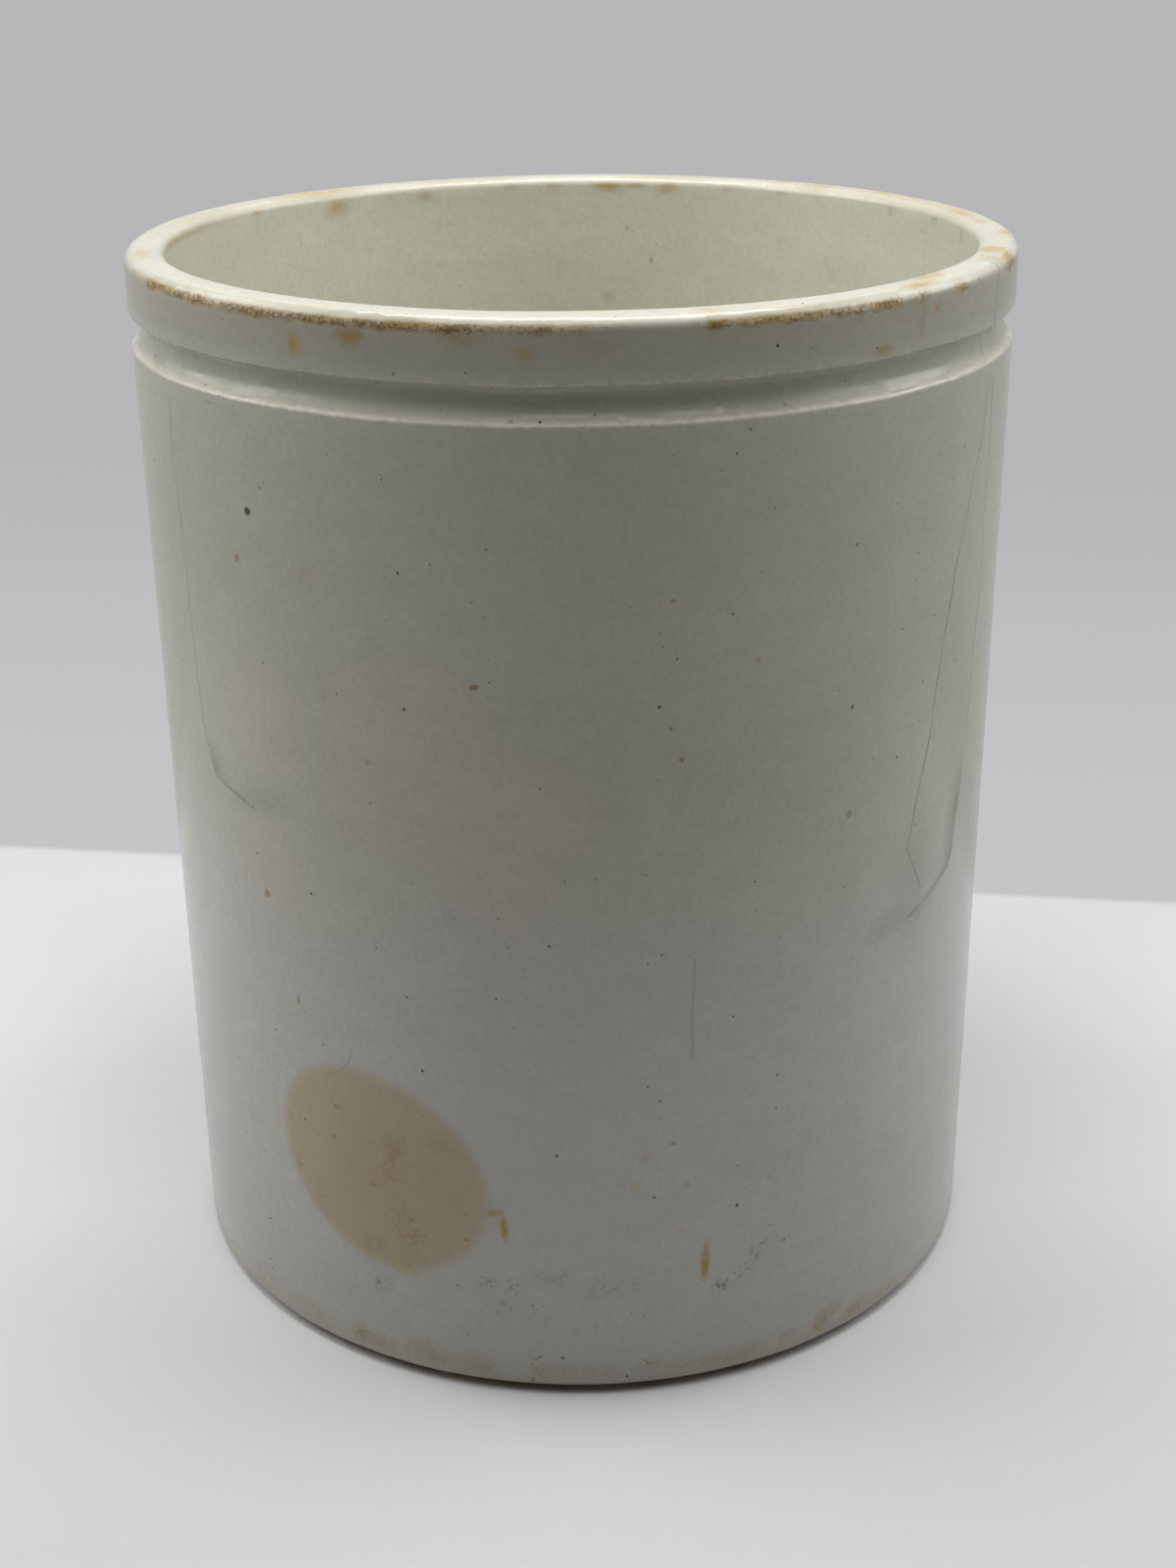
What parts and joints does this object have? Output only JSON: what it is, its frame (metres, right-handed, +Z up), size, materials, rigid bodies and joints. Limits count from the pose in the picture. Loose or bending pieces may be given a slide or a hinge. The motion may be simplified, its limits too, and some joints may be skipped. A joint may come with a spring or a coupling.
{
  "type": "marmalade jar",
  "caption": "Straight-sided open earthenware preserve jar with a plain rim band, a tie groove for a paper cover and a white glaze over all but its foot.",
  "frame": {"origin": "centre of the plane that the jar stands on, on the jar's axis", "axes": "+Z up along the jar's axis, towards the mouth; -Y towards the viewer of the picture"},
  "size_m": [0.112, 0.112, 0.138],
  "materials": {
    "clay": "matt bare fired clay, stained at the foot",
    "glaze": "glossy off-white glaze with iron specks and tan stains"
  },
  "bodies": {
    "root": {"clay_body": "clay", "glaze_coat": "glaze"}
  },
  "joints": []
}
